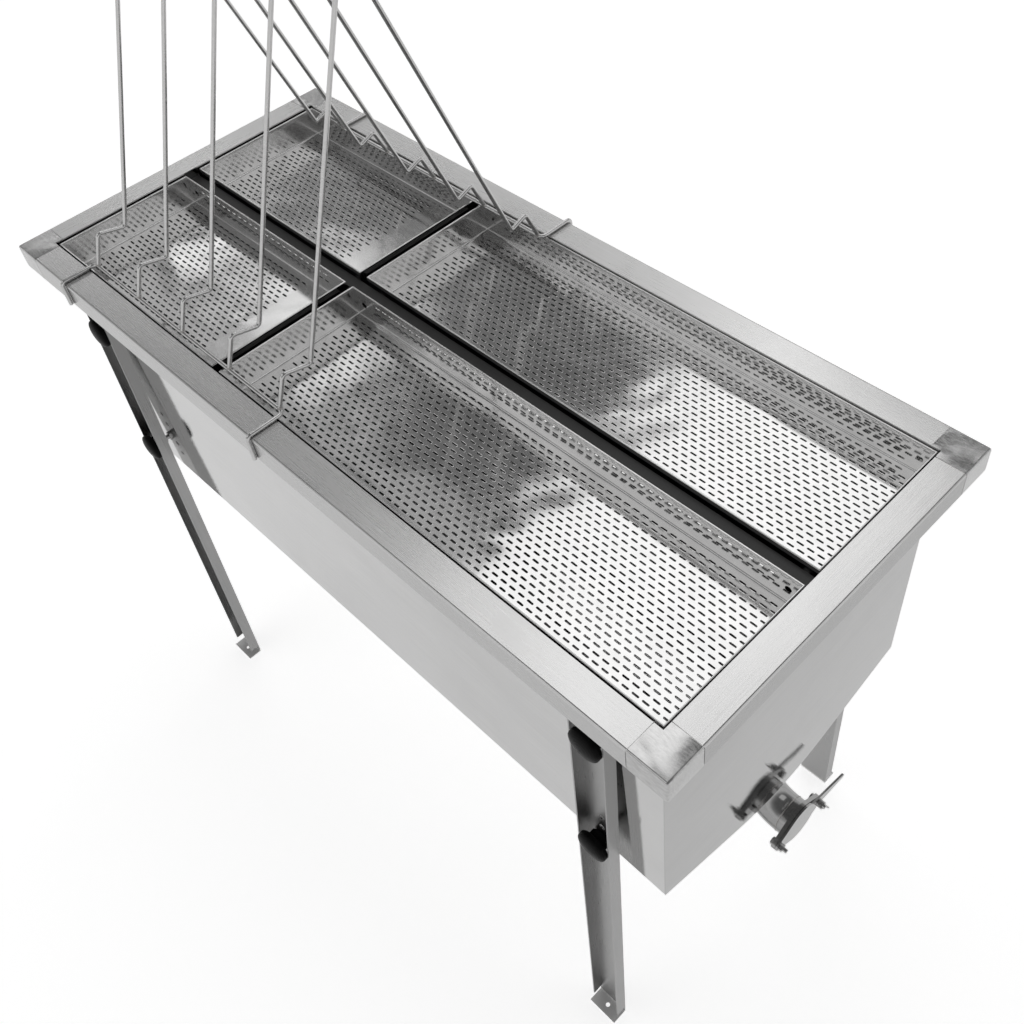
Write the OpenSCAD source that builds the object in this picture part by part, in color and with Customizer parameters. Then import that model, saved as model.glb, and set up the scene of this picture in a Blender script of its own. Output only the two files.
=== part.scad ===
// Uncapping tank for bee-keeping: a stainless trough on four legs, with four
// perforated trays, a lift-off frame rack and a swinging drain gate.
// Millimetres. Origin on the floor at the centre of the four foot holes,
// +X towards the drain gate, +Z up.

/* [Tank] */
// Length over the rim
rim_l = 1250; // [1050:10:1500]
// Width over the rim
rim_w = 547; // [500:1:640]
// Height of the rim above the floor
rim_h = 940; // [900:5:980]
// Thickness of the tank and rim sheet
sheet_t = 1.5; // [1:0.1:2.5]
// Width of the flat top of the rim
rim_band = 40; // [36:1:46]
// Depth of the lip outside the rim
rim_lip = 35; // [28:1:42]
// Width of the fold under the lip
rim_fold = 8; // [5:0.5:10]
// Outer radius of the bend along the rim's edge
rim_round = 3; // [2.5:0.25:5]
// Depth of the side walls below the rim top
side_d = 400; // [370:5:430]
// Slope of the bottom sheets
vee_angle = 18.8; // [14:0.2:22]
// Radius of the bend along the lowest line
vee_r = 270; // [180:5:320]
// How far a corner cap reaches past the inner corner
cap_reach = 12; // [8:1:20]
// Gap at each seam of the rim
seam = 0.4; // [0.2:0.1:0.8]

/* [Trays] */
// Depth of a tray
tray_d = 48; // [40:1:56]
// Thickness of the tray sheet
tray_t = 1.2; // [0.8:0.1:2]
// Drop of the tray edge below the rim top
tray_drop = 3; // [2:0.5:6]
// Clearance between a tray and the end wall
tray_gap = 2.5; // [1.5:0.5:4]
// Clearance between a tray and the side wall
tray_side = 0.5; // [0.4:0.1:4]
// Gap between the near and far trays
long_gap = 24; // [23:1:34]
// Distance of that gap from the middle of the tank
long_off = 1.5; // [0:0.5:6]
// Gap between the short and long trays
cross_gap = 15; // [13:1:20]
// Distance of the cross gap from the middle of the tank
cross_off = 175; // [120:5:220]
// Plain margin at each end of a tray bottom
tray_margin = 42; // [30:1:60]
// Length of a slot
slot_l = 28; // [16:1:32]
// Width of a slot
slot_w = 7; // [4:0.5:9]
// Distance between slots along a row
slot_pitch = 42; // [38:1:60]
// Distance between rows of slots
row_pitch = 26; // [22:1:34]
// Radius of the round hole near each end of a long tray wall
tray_hole_r = 4.5; // [3:0.5:6]
// Distance of that hole from the end of the tray
tray_hole_end = 19; // [12:1:30]

/* [Tray supports] */
// Width of the shelves that carry the trays
shelf_w = 16; // [12:1:22]
// Height of the shelf's upright flange
shelf_h = 20; // [14:1:30]
// Width of the top of the centre beam
beam_w = 18; // [14:1:20]
// Width of the top of the cross beam
cross_w = 10; // [8:0.5:11]
// Width of the flanges under each beam
beam_flange = 15; // [10:1:20]
// Drop of the beam tops below the tray edges
beam_drop = 11; // [6:1:20]

/* [Legs] */
// Distance of the legs from the ends of the rim
leg_inset = 128; // [95:1:220]
// Width of a leg channel
leg_w = 51; // [48.5:0.5:56]
// Depth of a leg channel
leg_d = 18; // [16:1:25]
// Thickness of a leg
leg_t = 2; // [1.5:0.5:2.5]
// Outward lean of the legs
leg_lean = 1.6; // [0.8:0.1:2]
// Drop of the leg top below the rim top
leg_drop = 15; // [8:1:25]
// Height of the cut flange ends above the floor
flange_cut = 18; // [12:1:30]
// Length of the foot tab
tab_l = 26; // [22:1:30]
// Distance of the foot hole from the outer end of the tab
tab_hole_edge = 13; // [11:0.5:14]
// Radius of the foot hole
tab_hole_r = 3.5; // [2.5:0.5:4.5]
// Depth of the upper knobs below the rim top
knob_hi = 108; // [80:1:140]
// Depth of the lower knobs below the rim top
knob_lo = 350; // [320:1:370]
// Radius of the studs
stud_r = 4; // [3:0.5:5]
// Distance between the height holes
hole_pitch = 24; // [16:1:30]
// Radius of the knob head
knob_r = 22; // [16:0.5:22]
// Thickness of the knob head
knob_head = 13; // [10:0.5:16]
// Length of the knob hub
knob_hub = 12; // [8:0.5:16]

/* [Rack] */
// Radius of the rack wire
wire_r = 3; // [2:0.25:3.5]
// Distance between the wire arches
arch_pitch = 109; // [80:1:112]
// Distance of the middle arch from the middle of the tank
rack_off = 261; // [255:1:300]
// Inset of the side wires from the inner edge of the rim
rail_inset = 12; // [8:1:20]
// Inset of an arch's upper bend from its side wire
stub_in = 18.5; // [14:0.5:26]
// Inset of an arch's lower bend from its side wire
foot_in = 52; // [44:1:66]
// Distance of the arch tops from the middle, towards the far side
arch_off = 6; // [0:1:8]
// Height of the upper bend above the rim
stub_z = 48; // [40:1:56]
// Height of the lower bend above the rim
foot_z = 38; // [30:1:46]
// Lean of the long arch wires
arch_lean = 20.8; // [18:0.2:24]
// Radius of the bend at the top of an arch
apex_r = 20; // [14:1:40]
// Radius of the small bends
bend_r = 8; // [6:0.5:10]
// Length of the hooks below the rim top
hook_d = 34; // [24:1:40]

/* [Drain gate] */
// Outer radius of the drain pipe
pipe_r = 28.5; // [24:0.5:30]
// Wall of the drain pipe
pipe_t = 1.5; // [1:0.25:2.5]
// Bend radius of the drain elbow
elbow_r = 57; // [45:1:62]
// Straight drop above the elbow
collar_d = 7; // [5:0.5:20]
// Reach of the elbow past the end wall
elbow_out = 15; // [8:1:30]
// Length of the pipe stub before the gate
stub_l = 11; // [8:1:40]
// Thickness of the gate flange
flange_t = 6; // [5:0.5:8]
// Distance of the pivot from the pipe axis
pivot_y = 44.5; // [43:0.5:50]
// Distance of the clamp stud from the pipe axis
clamp_y = 41; // [40:0.5:48]
// Thickness of the gate leaf
leaf_t = 3; // [2:0.5:4]
// Radius of the round part of the leaf
leaf_r = 32; // [30:0.5:33]
// Reach of the handle past the pipe axis
handle_y = 102; // [85:1:120]
// Radius of the gate bolts
bolt_r = 3; // [2.5:0.25:3.5]

/* [Hidden] */
$fn = 48;

steel = "silver";
steel_dark = "darkgray";
knob_black = [0.1, 0.1, 0.1];
rubber_black = [0.15, 0.15, 0.15];

// A loose piece rests this far above its seat
seat = 0.3;
// Overlap of cutting tools past the face that they cut
over = 1;
// Facets of a small bend
bend_steps = 4;
// Length of a cutting tool through a bent sheet
through = 20;

// Tank
open_l = rim_l - 2 * rim_band;
open_w = rim_w - 2 * rim_band;
tank_w = open_w + 2 * sheet_t;
wall_top = rim_h - sheet_t;
corner_z = rim_h - side_d;
vee_outer_r = vee_r + sheet_t;
vee_zc = corner_z - tank_w / 2 * tan(vee_angle) + vee_outer_r / cos(vee_angle);
vee_low = vee_zc - vee_outer_r;
vee_steps = 6;
inner_corner_z = corner_z + sheet_t / cos(vee_angle) - sheet_t * tan(vee_angle);

// Trays
tray_top = rim_h - tray_drop;
tray_z = tray_top - tray_d;
shelf_z = tray_z - seat;
tray_x = [[-open_l / 2 + tray_gap, -cross_off - cross_gap / 2],
          [-cross_off + cross_gap / 2, open_l / 2 - tray_gap]];
near_edge = long_off - long_gap / 2;
far_edge = long_off + long_gap / 2;
tray_w = open_w / 2 - tray_side - far_edge;
tray_y = [[near_edge - tray_w, near_edge], [far_edge, far_edge + tray_w]];
slot_edge = 3;
beam_top = tray_top - beam_drop;

// Legs
leg_x = rim_l / 2 - leg_inset;
leg_top = rim_h - leg_drop;
leg_back_top = tank_w / 2 + seat;
leg_back_foot = leg_back_top + leg_top * tan(leg_lean);
knob_z = [rim_h - knob_hi, rim_h - knob_lo];
hub_end_r = 11;
hub_r = 14;
knob_clear = seat + hub_end_r * tan(leg_lean);
knob_bore = 17;
stud_in_knob = 15;
nut_h = 6.5;
nut_r = 7.5;
nut_gap = 0.2;
thread_gap = 0.1;
hole_gap = 0.4;

// Rack
wire_z = rim_h + wire_r + seat;
rail_y = open_w / 2 - rail_inset;
hook_y = rim_w / 2 + wire_r + seat;
arch_n = 5;
weld_gap = 0.2;
hook_x = 8;
wire_sides = 8;
apex_steps = 10;
hook_r = rim_round + seat + wire_r;
foot_y = rail_y - foot_in;
apex_z = foot_z + foot_y / tan(arch_lean);

// Drain gate
pipe_bore = pipe_r - pipe_t;
pipe_z = vee_low - collar_d - elbow_r;
elbow_end = open_l / 2 + sheet_t + elbow_out;
elbow_x = elbow_end - elbow_r;
flange_x = elbow_end + stub_l;
flange_face = flange_x + flange_t;
leaf_gap = 0.7;
leaf_x = flange_face + leaf_gap;
leaf_face = leaf_x + leaf_t;
seal_in = pipe_bore + 0.5;
seal_w = 3;
seal_depth = 1.5;
hinge_gap = 0.05;
ear_r = 8;
bolt_head_r = 5.8;
bolt_head_t = 4;
nut_t = 5;
bolt_out = 6;
slot_gap = 0.5;
flange_rim = 4;
leaf_neck_r = 24;
clamp_end = [clamp_y + 4, 2];
clamp_end_r = 9;
handle_r = 4;
handle_drop = 8;
slot_half = 12;
slot_depth = 22;

// Stretches a profile drawn in Y and Z along X
module along_x(x0, x1) {
    translate([x0, 0, 0])
        rotate([90, 0, 90])
            linear_extrude(x1 - x0)
                children();
}

// Stretches a profile drawn in X and Z along Y
module along_y(y0, y1) {
    translate([0, y1, 0])
        rotate([90, 0, 0])
            linear_extrude(y1 - y0)
                children();
}

// A block between two corners
module block(low, high) {
    translate(low) cube(high - low);
}

// A hole or pin along X
module rod_x(x0, x1, y, z, r) {
    translate([x0, y, z]) rotate([0, 90, 0]) cylinder(h = x1 - x0, r = r);
}

// A hole or pin along Y
module rod_y(y0, y1, x, z, r) {
    translate([x, y1, z]) rotate([90, 0, 0]) cylinder(h = y1 - y0, r = r);
}

// Cross-section of the tank: walls, slopes and the bend along the lowest line
function vee_arc(r) = [
    for (i = [-vee_steps:vee_steps])
        let (q = i * vee_angle / vee_steps)
        [r * sin(q), vee_zc - r * cos(q)]
];
function tank_outline(half, low, r, top) =
    concat([[-half, top], [-half, low]], vee_arc(r), [[half, low], [half, top]]);

module outer_profile(top) {
    polygon(tank_outline(tank_w / 2, corner_z, vee_outer_r, top));
}

module trough() {
    color(steel)
        difference() {
            along_x(-open_l / 2, open_l / 2)
                difference() {
                    outer_profile(wall_top);
                    polygon(tank_outline(open_w / 2, inner_corner_z, vee_r, rim_h));
                }
            translate([elbow_x, 0, vee_low - over]) cylinder(h = through, r = pipe_bore);
        }
}

module end_wall(side) {
    x = open_l / 2;
    color(steel)
        along_x(side > 0 ? x : -x - sheet_t, side > 0 ? x + sheet_t : -x)
            outer_profile(wall_top);
}

// Rim: folded sheet with a flat top, a rounded edge, an outer lip and a small fold under it
function rim_bend(edge, r) = [
    for (k = [0:bend_steps])
        let (q = 90 * k / bend_steps)
        [edge + rim_band - rim_round + r * sin(q), rim_h - rim_round + r * cos(q)]
];
function reverse(list) = [for (i = [len(list) - 1:-1:0]) list[i]];
function rim_section(edge) = concat(
    [[edge, rim_h]],
    rim_bend(edge, rim_round),
    [
        [edge + rim_band, rim_h - rim_lip],
        [edge + rim_band - rim_fold, rim_h - rim_lip],
        [edge + rim_band - rim_fold, rim_h - rim_lip + sheet_t],
        [edge + rim_band - sheet_t, rim_h - rim_lip + sheet_t]
    ],
    reverse(rim_bend(edge, rim_round - sheet_t)),
    [[edge, wall_top]]
);

module rim_side(edge, side) {
    mirror([side > 0 ? 0 : 1, 0]) polygon(rim_section(edge));
}

rail_end_x = open_l / 2 - cap_reach - seam;
rail_end_y = open_w / 2 - cap_reach - seam;

module rim_rail_long(side) {
    color(steel) along_x(-rail_end_x, rail_end_x) rim_side(open_w / 2, side);
}

module rim_rail_short(side) {
    color(steel) along_y(-rail_end_y, rail_end_y) rim_side(open_l / 2, side);
}

module corner_cap(sx, sy) {
    color(steel)
        mirror([sx > 0 ? 0 : 1, 0, 0])
            mirror([0, sy > 0 ? 0 : 1, 0])
                union() {
                    along_x(open_l / 2 - cap_reach, rim_l / 2) rim_side(open_w / 2, 1);
                    along_y(open_w / 2 - cap_reach, rim_w / 2) rim_side(open_l / 2, 1);
                }
}

// Shelves: angles on the inside of the walls; the end shelves lie one sheet lower
module shelf_profile(edge, top, side) {
    mirror([side > 0 ? 0 : 1, 0])
        polygon([
            [edge, top], [edge - shelf_w, top], [edge - shelf_w, top - sheet_t],
            [edge - sheet_t, top - sheet_t], [edge - sheet_t, top - shelf_h],
            [edge, top - shelf_h]
        ]);
}

module shelf_long(side) {
    color(steel_dark)
        along_x(-open_l / 2, open_l / 2) shelf_profile(open_w / 2, shelf_z, side);
}

module shelf_short(side) {
    reach = open_w / 2 - shelf_w;
    color(steel_dark)
        along_y(-reach, reach) shelf_profile(open_l / 2, shelf_z - sheet_t, side);
}

// Beams: folded hat sections, whose flanges carry the tray bottoms
module hat_profile(width) {
    half = width / 2;
    foot = half + beam_flange;
    polygon([
        [-foot, shelf_z], [-half, shelf_z], [-half, beam_top], [half, beam_top],
        [half, shelf_z], [foot, shelf_z], [foot, shelf_z - sheet_t],
        [half - sheet_t, shelf_z - sheet_t], [half - sheet_t, beam_top - sheet_t],
        [sheet_t - half, beam_top - sheet_t], [sheet_t - half, shelf_z - sheet_t],
        [-foot, shelf_z - sheet_t]
    ]);
}

module centre_beam() {
    color(steel_dark)
        translate([0, long_off, 0])
            along_x(-open_l / 2, open_l / 2) hat_profile(beam_w);
}

module cross_beam(side) {
    inner = beam_w / 2 + beam_flange;
    outer = open_w / 2 - shelf_w;
    color(steel_dark)
        translate([-cross_off, 0, 0])
            along_y(side > 0 ? long_off + inner : -outer, side > 0 ? outer : long_off - inner)
                hat_profile(cross_w);
}

// Trays: an open frame with plain end margins, and a slotted sheet between them
module tray_frame(i, j) {
    low = [tray_x[i][0], tray_y[j][0], tray_z];
    high = [tray_x[i][1], tray_y[j][1], tray_top];
    wall = [tray_t, tray_t, 0];
    color(steel)
        difference() {
            block(low, high);
            block(low + wall + [0, 0, tray_t], high - wall + [0, 0, over]);
            block(low + wall + [tray_margin, 0, -over],
                  [high[0] - tray_t - tray_margin, high[1] - tray_t, tray_z + tray_t + over]);
            for (x = [low[0] + tray_hole_end, high[0] - tray_hole_end])
                rod_y(low[1] - over, high[1] + over, x, tray_top - tray_d / 2, tray_hole_r);
        }
}

module sieve(i, j) {
    low = [tray_x[i][0] + tray_t + tray_margin, tray_y[j][0] + tray_t];
    high = [tray_x[i][1] - tray_t - tray_margin, tray_y[j][1] - tray_t];
    mid = (low + high) / 2;
    rows = floor((high[1] - low[1] - slot_w - 2 * slot_edge) / row_pitch / 2);
    cols = floor((high[0] - low[0] - slot_l - slot_pitch / 2 - 2 * slot_edge) / slot_pitch / 2);
    color(steel)
        translate([0, 0, tray_z])
            linear_extrude(tray_t)
                difference() {
                    translate(low) square(high - low);
                    for (r = [-rows:rows], c = [-cols:cols])
                        let (shift = (r % 2 == 0 ? 0.25 : -0.25) * slot_pitch)
                        translate(mid + [c * slot_pitch + shift, r * row_pitch])
                            square([slot_l, slot_w], center = true);
                }
}

// Points that round off the corner b of the path a, b, c
function unit(v) = v / norm(v);
function fillet(a, b, c, r, n) =
    let (
        u = unit(a - b), v = unit(c - b), half = acos(u * v) / 2,
        o = b + unit(u + v) * r / sin(half), turn = 180 - 2 * half,
        p = b + u * r / tan(half) - o, q = b + v * r / tan(half) - o
    )
    [for (k = [0:n]) o + (p * sin(turn * (n - k) / n) + q * sin(turn * k / n)) / sin(turn)];
function bend(a, b, c) = fillet(a, b, c, bend_r, bend_steps);

function tangent(p, i) =
    unit((i < len(p) - 1 ? unit(p[i + 1] - p[i]) : [0, 0, 0])
        + (i > 0 ? unit(p[i] - p[i - 1]) : [0, 0, 0]));
function normals(p, n, i = 0) =
    i == len(p) ? [] :
    let (t = tangent(p, i), m = unit(n - (n * t) * t))
    concat([m], normals(p, m, i + 1));

// A wire of radius r along a path; n is a direction across its first stretch
module wire(path, r, n) {
    side = normals(path, n);
    rings = len(path);
    m = wire_sides;
    points = [
        for (i = [0:rings - 1], k = [0:m - 1])
            let (q = 360 * (k + 0.5) / m)
            path[i] + r / cos(180 / m) * (cos(q) * side[i] + sin(q) * cross(tangent(path, i), side[i]))
    ];
    walls = [
        for (i = [0:rings - 2], k = [0:m - 1])
            [i * m + k, (i + 1) * m + k, (i + 1) * m + (k + 1) % m, i * m + (k + 1) % m]
    ];
    first = [for (k = [0:m - 1]) k];
    last = [for (k = [m - 1:-1:0]) (rings - 1) * m + k];
    polyhedron(points, concat(walls, [first, last]));
}

// Rack: two side wires with hooks over the rim, and five wire arches between them
module rack_rail(side) {
    x0 = -rack_off - (arch_n - 1) / 2 * arch_pitch - hook_x;
    x1 = -rack_off + (arch_n - 1) / 2 * arch_pitch + hook_x;
    tip = rim_h - hook_d;
    hook = function(x) [[x, hook_y, tip], [x, hook_y, wire_z], [x, rail_y, wire_z]];
    a = hook(x0);
    b = hook(x1);
    path = concat(
        [a[0]],
        fillet(a[0], a[1], a[2], hook_r, bend_steps),
        bend(a[1], a[2], b[2]),
        bend(a[2], b[2], b[1]),
        fillet(b[2], b[1], b[0], hook_r, bend_steps),
        [b[0]]
    );
    color(steel)
        mirror([0, side > 0 ? 0 : 1, 0])
            wire(path, wire_r, [1, 0, 0]);
}

module rack_arch(i) {
    x = -rack_off + (i - (arch_n + 1) / 2) * arch_pitch;
    stub = [x, rail_y - stub_in, rim_h + stub_z];
    rise = unit(stub - [x, rail_y, wire_z]);
    base = [x, rail_y, wire_z] + rise * (wire_r / cos(180 / wire_sides) + weld_gap);
    foot = [x, arch_off + foot_y, rim_h + foot_z];
    near_foot = [x, arch_off - foot_y, rim_h + foot_z];
    apex = [x, arch_off, rim_h + apex_z];
    left = function(p) [p[0], -p[1], p[2]];
    path = concat(
        [left(base)],
        bend(left(base), left(stub), near_foot),
        bend(left(stub), near_foot, apex),
        fillet(near_foot, apex, foot, apex_r, apex_steps),
        bend(apex, foot, stub),
        bend(foot, stub, base),
        [base]
    );
    color(steel) wire(path, wire_r, [1, 0, 0]);
}

// Legs: channels that open outwards and lean out towards the floor
function leg_back(z) = leg_back_top + (leg_top - z) * tan(leg_lean);

// A point of a leg's side view, at height z and at a depth d into the channel
function leg_point(z, d) = [leg_back(z) + d / cos(leg_lean), z];

module leg(sx, sy) {
    half = leg_w / 2;
    foot = leg_back_foot;
    color(steel_dark)
        mirror([sx > 0 ? 0 : 1, 0, 0])
            mirror([0, sy > 0 ? 0 : 1, 0])
                translate([leg_x, 0, 0])
                    difference() {
                        along_x(-half, half)
                            polygon([
                                [foot, 0], [foot + tab_l, 0], [foot + tab_l, leg_t],
                                leg_point(leg_t, leg_t), leg_point(flange_cut, leg_t),
                                leg_point(flange_cut, leg_d), leg_point(leg_top, leg_d),
                                leg_point(leg_top, 0)
                            ]);
                        along_x(leg_t - half, half - leg_t)
                            polygon([
                                leg_point(flange_cut / 2, leg_t), leg_point(flange_cut / 2, leg_d + over),
                                leg_point(leg_top + over, leg_d + over), leg_point(leg_top + over, leg_t)
                            ]);
                        translate([0, foot + tab_l - tab_hole_edge, -over])
                            cylinder(h = leg_t + 2 * over, r = tab_hole_r);
                        for (k = [-2, -1, 1, 2])
                            let (z = knob_z[1] + k * hole_pitch)
                            rod_y(0, foot + leg_t + over, 0, z, stud_r + hole_gap);
                        for (z = knob_z)
                            rod_y(0, foot + leg_t + over, 0, z, stud_r + hole_gap);
                    }
}

// Studs welded to the tank, two for each leg
module leg_studs() {
    color(steel_dark)
        for (x = [-leg_x, leg_x], s = [-1, 1], z = knob_z) {
            tip = leg_back(z) + leg_t + knob_clear + stud_in_knob;
            rod_y(s > 0 ? tank_w / 2 : -tip, s > 0 ? tip : -tank_w / 2, x, z, stud_r);
        }
}

// Nuts that hold the lower half of each leg off the tank
module lock_nuts() {
    face = leg_back(knob_z[1]) - nut_r * tan(leg_lean) - nut_gap;
    color(steel_dark)
        for (x = [-leg_x, leg_x], s = [-1, 1])
            difference() {
                translate([x, s > 0 ? face : nut_h - face, knob_z[1]])
                    rotate([90, 0, 0])
                        cylinder(h = nut_h, r = nut_r, $fn = 6);
                rod_y(-face - over, face + over, x, knob_z[1], stud_r + thread_gap);
            }
}

// A mushroom knob with a blind bore, screwed on its stud
module knob(sx, sy, i) {
    length = knob_hub + knob_head;
    start = leg_back(knob_z[i]) + leg_t + knob_clear;
    crown = 6;
    crown_steps = 6;
    chamfer = 1.5;
    color(knob_black)
        mirror([sx > 0 ? 0 : 1, 0, 0])
            mirror([0, sy > 0 ? 0 : 1, 0])
                translate([leg_x, start, knob_z[i]])
                    rotate([-90, 0, 0])
                        rotate_extrude()
                            difference() {
                                polygon(concat(
                                    [[0, 0], [hub_end_r, 0], [hub_r, 2], [hub_r, knob_hub],
                                     [knob_r - chamfer, knob_hub], [knob_r, knob_hub + chamfer],
                                     [knob_r, length - crown]],
                                    [for (k = [1:crown_steps])
                                        let (q = 90 * k / crown_steps)
                                        [knob_r * cos(q), length - crown + crown * sin(q)]]
                                ));
                                translate([-over, -over])
                                    square([stud_r + thread_gap + over, knob_bore + over]);
                            }
}

// Drain: a collar under the trough, an elbow, and a stub that ends in the gate
module drain_collar() {
    color(steel)
        difference() {
            translate([elbow_x, 0, pipe_z + elbow_r]) cylinder(h = collar_d + through / 2, r = pipe_r);
            translate([elbow_x, 0, pipe_z + elbow_r - over])
                cylinder(h = collar_d + through, r = pipe_bore);
            along_x(elbow_x - 2 * pipe_r, elbow_x + 2 * pipe_r) outer_profile(wall_top);
        }
}

module drain_elbow() {
    color(steel)
        translate([elbow_end, 0, pipe_z + elbow_r])
            rotate([-90, 0, 0])
                rotate([0, 0, 90])
                    rotate_extrude(angle = 90)
                        translate([elbow_r, 0])
                            difference() {
                                circle(r = pipe_r);
                                circle(r = pipe_bore);
                            }
}

module gate_stub() {
    color(steel)
        difference() {
            rod_x(elbow_end, flange_x, 0, pipe_z, pipe_r);
            rod_x(elbow_end - over, flange_x + over, 0, pipe_z, pipe_bore);
        }
}

module gate_flange() {
    color(steel)
        difference() {
            translate([flange_x, 0, pipe_z])
                rotate([90, 0, 90])
                    linear_extrude(flange_t)
                        hull() {
                            circle(r = pipe_r + flange_rim);
                            translate([-pivot_y, 0]) circle(r = ear_r);
                            translate([clamp_y, 0]) circle(r = ear_r);
                        }
            rod_x(flange_x - over, flange_face + over, 0, pipe_z, pipe_bore);
            rod_x(flange_x - over, flange_face + over, -pivot_y, pipe_z, bolt_r + thread_gap);
            rod_x(flange_x - over, flange_face + over, clamp_y, pipe_z, bolt_r + thread_gap);
            difference() {
                rod_x(flange_face - seal_depth, flange_face + over, 0, pipe_z, seal_in + seal_w);
                rod_x(flange_face - seal_depth - over, flange_face + 2 * over, 0, pipe_z, seal_in);
            }
        }
}

module gate_seal() {
    color(rubber_black)
        difference() {
            rod_x(flange_face - seal_depth, leaf_x - seat, 0, pipe_z, seal_in + seal_w - 0.1);
            rod_x(flange_face - 2 * seal_depth, leaf_x + over, 0, pipe_z, seal_in + 0.1);
        }
}

module leaf_outline() {
    reach = pivot_y + clamp_y;
    difference() {
        union() {
            hull() {
                circle(r = leaf_r);
                translate([-pivot_y, 0]) circle(r = ear_r);
            }
            hull() {
                circle(r = leaf_neck_r);
                translate(clamp_end) circle(r = clamp_end_r);
            }
            hull() {
                translate(clamp_end) circle(r = clamp_end_r);
                translate([handle_y - handle_r, -handle_drop]) circle(r = handle_r);
            }
        }
        translate([clamp_y, 0]) circle(r = bolt_r + slot_gap);
        intersection() {
            translate([-pivot_y, 0])
                difference() {
                    circle(r = reach + bolt_r + slot_gap, $fn = 180);
                    circle(r = reach - bolt_r - slot_gap, $fn = 180);
                }
            translate([clamp_y - slot_half, -slot_depth]) square([2 * slot_half, slot_depth]);
        }
    }
}

module gate_leaf() {
    color(steel)
        difference() {
            translate([leaf_x, 0, pipe_z])
                rotate([90, 0, 90])
                    linear_extrude(leaf_t)
                        leaf_outline();
            rod_x(leaf_x - over, leaf_face + over, -pivot_y, pipe_z, bolt_r + hinge_gap);
        }
}

module gate_bolt(y, sides) {
    color(steel_dark)
        union() {
            translate([flange_x - bolt_head_t, y, pipe_z])
                rotate([0, 90, 0])
                    cylinder(h = bolt_head_t, r = bolt_head_r, $fn = sides);
            rod_x(flange_x, leaf_face + seat + nut_t + bolt_out, y, pipe_z, bolt_r);
        }
}

module pivot_nut() {
    color(steel_dark)
        difference() {
            translate([leaf_face + seat, -pivot_y, pipe_z])
                rotate([0, 90, 0])
                    cylinder(h = nut_t, r = bolt_head_r, $fn = 6);
            rod_x(leaf_face, leaf_face + 2 * nut_t, -pivot_y, pipe_z, bolt_r + thread_gap);
        }
}

module wing_nut() {
    hub_r = 6;
    hub_h = 8;
    tip = [8, 13];
    tip_r = 4;
    wing_t = 1.8;
    wing_turn = 35;
    x0 = leaf_face + seat;
    color(steel)
        difference() {
            union() {
                rod_x(x0, x0 + hub_h, clamp_y, pipe_z, hub_r);
                for (turn = [wing_turn, wing_turn + 180])
                    translate([x0 + 1, clamp_y, pipe_z])
                        rotate([turn, 0, 0])
                            rotate([90, 0, 0])
                                linear_extrude(wing_t, center = true)
                                    hull() {
                                        translate([0, hub_r - 2]) square([hub_h - 2, 1]);
                                        translate(tip) circle(r = tip_r);
                                    }
            }
            rod_x(x0 - over, x0 + 2 * hub_h, clamp_y, pipe_z, bolt_r + thread_gap);
        }
}

trough();
end_wall(-1);  // end_wall_left
end_wall(1);  // end_wall_right
rim_rail_long(-1);  // rim_rail_near
rim_rail_long(1);  // rim_rail_far
rim_rail_short(-1);  // rim_rail_left
rim_rail_short(1);  // rim_rail_right
corner_cap(-1, -1);  // corner_cap_near_left
corner_cap(1, -1);  // corner_cap_near_right
corner_cap(-1, 1);  // corner_cap_far_left
corner_cap(1, 1);  // corner_cap_far_right
shelf_long(-1);  // shelf_near
shelf_long(1);  // shelf_far
shelf_short(-1);  // shelf_left
shelf_short(1);  // shelf_right
centre_beam();
cross_beam(-1);  // cross_beam_near
cross_beam(1);  // cross_beam_far
tray_frame(0, 0);  // tray_near_left
tray_frame(1, 0);  // tray_near_right
tray_frame(0, 1);  // tray_far_left
tray_frame(1, 1);  // tray_far_right
sieve(0, 0);  // sieve_near_left
sieve(1, 0);  // sieve_near_right
sieve(0, 1);  // sieve_far_left
sieve(1, 1);  // sieve_far_right
rack_rail(-1);  // rack_rail_near
rack_rail(1);  // rack_rail_far
rack_arch(1);  // rack_arch_1
rack_arch(2);  // rack_arch_2
rack_arch(3);  // rack_arch_3
rack_arch(4);  // rack_arch_4
rack_arch(5);  // rack_arch_5
leg(-1, -1);  // leg_near_left
leg(1, -1);  // leg_near_right
leg(-1, 1);  // leg_far_left
leg(1, 1);  // leg_far_right
leg_studs();
lock_nuts();
knob(-1, -1, 0);  // knob_near_left_upper
knob(-1, -1, 1);  // knob_near_left_lower
knob(1, -1, 0);  // knob_near_right_upper
knob(1, -1, 1);  // knob_near_right_lower
knob(-1, 1, 0);  // knob_far_left_upper
knob(-1, 1, 1);  // knob_far_left_lower
knob(1, 1, 0);  // knob_far_right_upper
knob(1, 1, 1);  // knob_far_right_lower
drain_collar();
drain_elbow();
gate_stub();
gate_flange();
gate_seal();
gate_leaf();
gate_bolt(-pivot_y, 6);  // pivot_bolt
pivot_nut();
gate_bolt(clamp_y, 24);  // clamp_stud
wing_nut();
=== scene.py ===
import math

import bmesh
import bpy
from mathutils import Matrix, Vector, noise


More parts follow.
